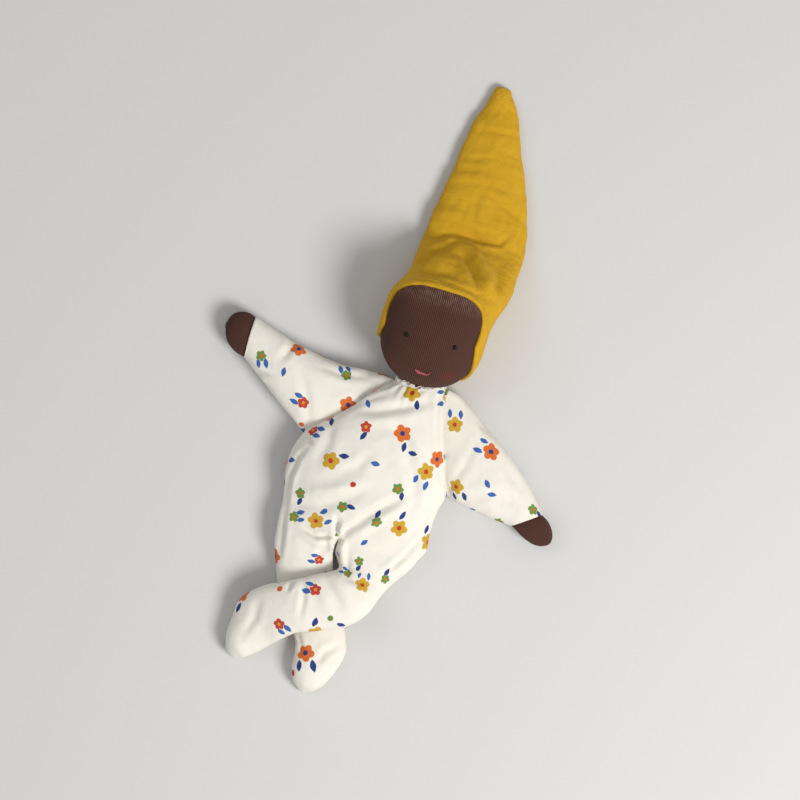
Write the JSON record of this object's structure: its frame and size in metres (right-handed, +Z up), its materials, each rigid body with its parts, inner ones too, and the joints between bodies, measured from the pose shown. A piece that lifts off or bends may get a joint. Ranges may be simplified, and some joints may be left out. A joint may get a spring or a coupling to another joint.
{
  "type": "waldorf doll",
  "caption": "Soft waldorf doll on its back: knitted head in a pointed hat, printed footed romper, arms spread, ankles crossed",
  "frame": {"origin": "on the flat back of the romper, level with the armpits", "axes": "+Z up out of the table and out of the face, +Y along the spine to the hat, +X to the doll's own left"},
  "size_m": [0.1795, 0.3017, 0.0459],
  "materials": {
    "printed_cotton": "off-white woven cotton with a small printed scatter of flowers, berries and leaves",
    "brown_knit": "dark brown fine stockinette, matt, with upright knit columns",
    "mustard_muslin": "mustard brushed muslin, soft and matt",
    "wool": "carded wool, loose and matt",
    "white_thread": "white sewing thread",
    "black_thread": "black embroidery thread",
    "pink_thread": "pink embroidery thread"
  },
  "bodies": {
    "torso": {"romper_front": "printed_cotton", "romper_back": "printed_cotton", "torso_stuffing": "wool", "neck_gather": "white_thread"},
    "neck": {"neck_stem": "wool"},
    "head": {"head_ball": "wool", "head_skin": "brown_knit", "neck_thread": "white_thread", "right_eye": "black_thread", "left_eye": "black_thread", "mouth": "pink_thread", "hat_hood": "mustard_muslin", "hat_hem": "mustard_muslin"},
    "hat_peak": {"hat_peak": "mustard_muslin"},
    "right_arm": {"right_sleeve": "printed_cotton", "right_sleeve_stuffing": "wool", "right_hand": "brown_knit", "right_hand_stuffing": "wool"},
    "left_arm": {"left_sleeve": "printed_cotton", "left_sleeve_stuffing": "wool", "left_hand": "brown_knit", "left_hand_stuffing": "wool"},
    "right_leg": {"right_leg": "printed_cotton", "right_leg_stuffing": "wool"},
    "left_leg": {"left_leg": "printed_cotton", "left_leg_stuffing": "wool"}
  },
  "joints": [
    {"name": "head_nod", "type": "hinge", "parent": "torso", "child": "neck", "pos_m": [0.0105, 0.0407, 0.0231], "axis": [0.9945, 0.1045, 0], "range_deg": [0, 40]},
    {"name": "head_turn", "type": "hinge", "parent": "neck", "child": "head", "pos_m": [0.0105, 0.0407, 0.0165], "axis": [-0.104, 0.9645, 0.2428], "range_deg": [-35, 35]},
    {"name": "hat_fold", "type": "hinge", "parent": "head", "child": "hat_peak", "pos_m": [0.0109, 0.11663, 0.013], "axis": [0.9882, 0.153, 0], "range_deg": [0, 100]},
    {"name": "right_shoulder", "type": "hinge", "parent": "torso", "child": "right_arm", "pos_m": [-0.00091, 0.0393, 0.016], "axis": [0.6674, 0.7447, 0], "range_deg": [0, 90]},
    {"name": "left_shoulder", "type": "hinge", "parent": "torso", "child": "left_arm", "pos_m": [0.02191, 0.0421, 0.016], "axis": [0.418, -0.9085, 0], "range_deg": [0, 90]},
    {"name": "left_hip", "type": "hinge", "parent": "torso", "child": "left_leg", "pos_m": [0, -0.033, 0.0192], "axis": [-1, 0, 0], "range_deg": [0, 85]},
    {"name": "right_hip", "type": "hinge", "parent": "torso", "child": "right_leg", "pos_m": [0, -0.033, 0.0192], "axis": [-1, 0, 0], "range_deg": [0, 85]}
  ],
  "couplings": [
    {"joint": "right_hip", "follows": "left_hip", "ratio": 1}
  ]
}
